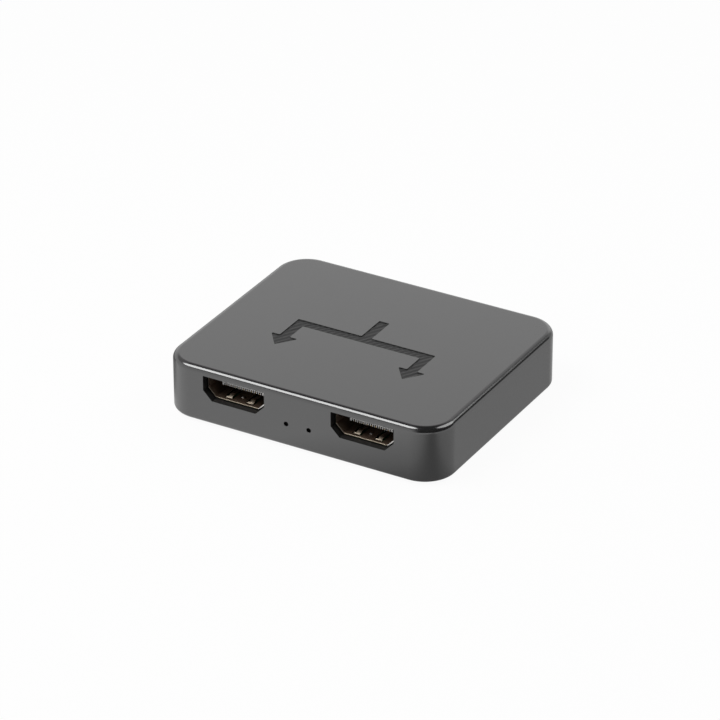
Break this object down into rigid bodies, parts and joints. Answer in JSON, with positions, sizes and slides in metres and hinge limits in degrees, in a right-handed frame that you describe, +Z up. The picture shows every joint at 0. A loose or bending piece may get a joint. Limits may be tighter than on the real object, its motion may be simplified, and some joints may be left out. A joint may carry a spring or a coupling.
{
  "type": "hdmi splitter",
  "caption": "Small flat rounded box that repeats one HDMI input on two outputs, with status lights, a power socket and rubber feet.",
  "frame": {"origin": "on the table, under the middle of the case: the middle of the feet's resting plane", "axes": "+Z up; -Y out of the front with the two outputs and the status lights; +X to the right as seen from the front"},
  "size_m": [0.0676, 0.0562, 0.0136],
  "materials": {
    "case_plastic": "gloss moulded",
    "screw_steel": "zinc plated",
    "foot_rubber": "matte",
    "board_laminate": "solder mask",
    "shell_plating": "bright plated",
    "socket_plastic": "moulded",
    "contact_gold": "gold plated",
    "power_shell_steel": "nickel plated",
    "chip_epoxy": "moulded epoxy",
    "tinned_lead": "tinned",
    "ferrite": "sintered",
    "can_metal": "satin",
    "capacitor_ceramic": "fired",
    "led_lens": "clear"
  },
  "bodies": {
    "root": {"top_cover": "case_plastic", "bottom_cover": "case_plastic", "case_screws": "screw_steel", "rubber_feet": "foot_rubber", "main_board": "board_laminate", "hdmi_out_1_shell": "shell_plating", "hdmi_out_1_insulator": "socket_plastic", "hdmi_out_1_contacts": "contact_gold", "hdmi_out_2_shell": "shell_plating", "hdmi_out_2_insulator": "socket_plastic", "hdmi_out_2_contacts": "contact_gold", "hdmi_in_shell": "shell_plating", "hdmi_in_insulator": "socket_plastic", "hdmi_in_contacts": "contact_gold", "usb_power_shell": "power_shell_steel", "usb_power_insulator": "chip_epoxy", "usb_power_contacts": "contact_gold", "splitter_chip": "chip_epoxy", "splitter_chip_leads": "tinned_lead", "memory_chip": "chip_epoxy", "memory_chip_leads": "tinned_lead", "main_regulator": "chip_epoxy", "main_regulator_leads": "tinned_lead", "core_regulator": "chip_epoxy", "core_regulator_leads": "tinned_lead", "power_inductor": "ferrite", "crystal_can": "can_metal", "crystal_base": "chip_epoxy", "bulk_capacitor_can": "can_metal", "bulk_capacitor_base": "chip_epoxy", "ceramic_capacitors": "capacitor_ceramic", "resistors": "chip_epoxy", "surge_protectors": "chip_epoxy", "status_led_1": "led_lens", "status_led_2": "led_lens"}
  },
  "joints": []
}
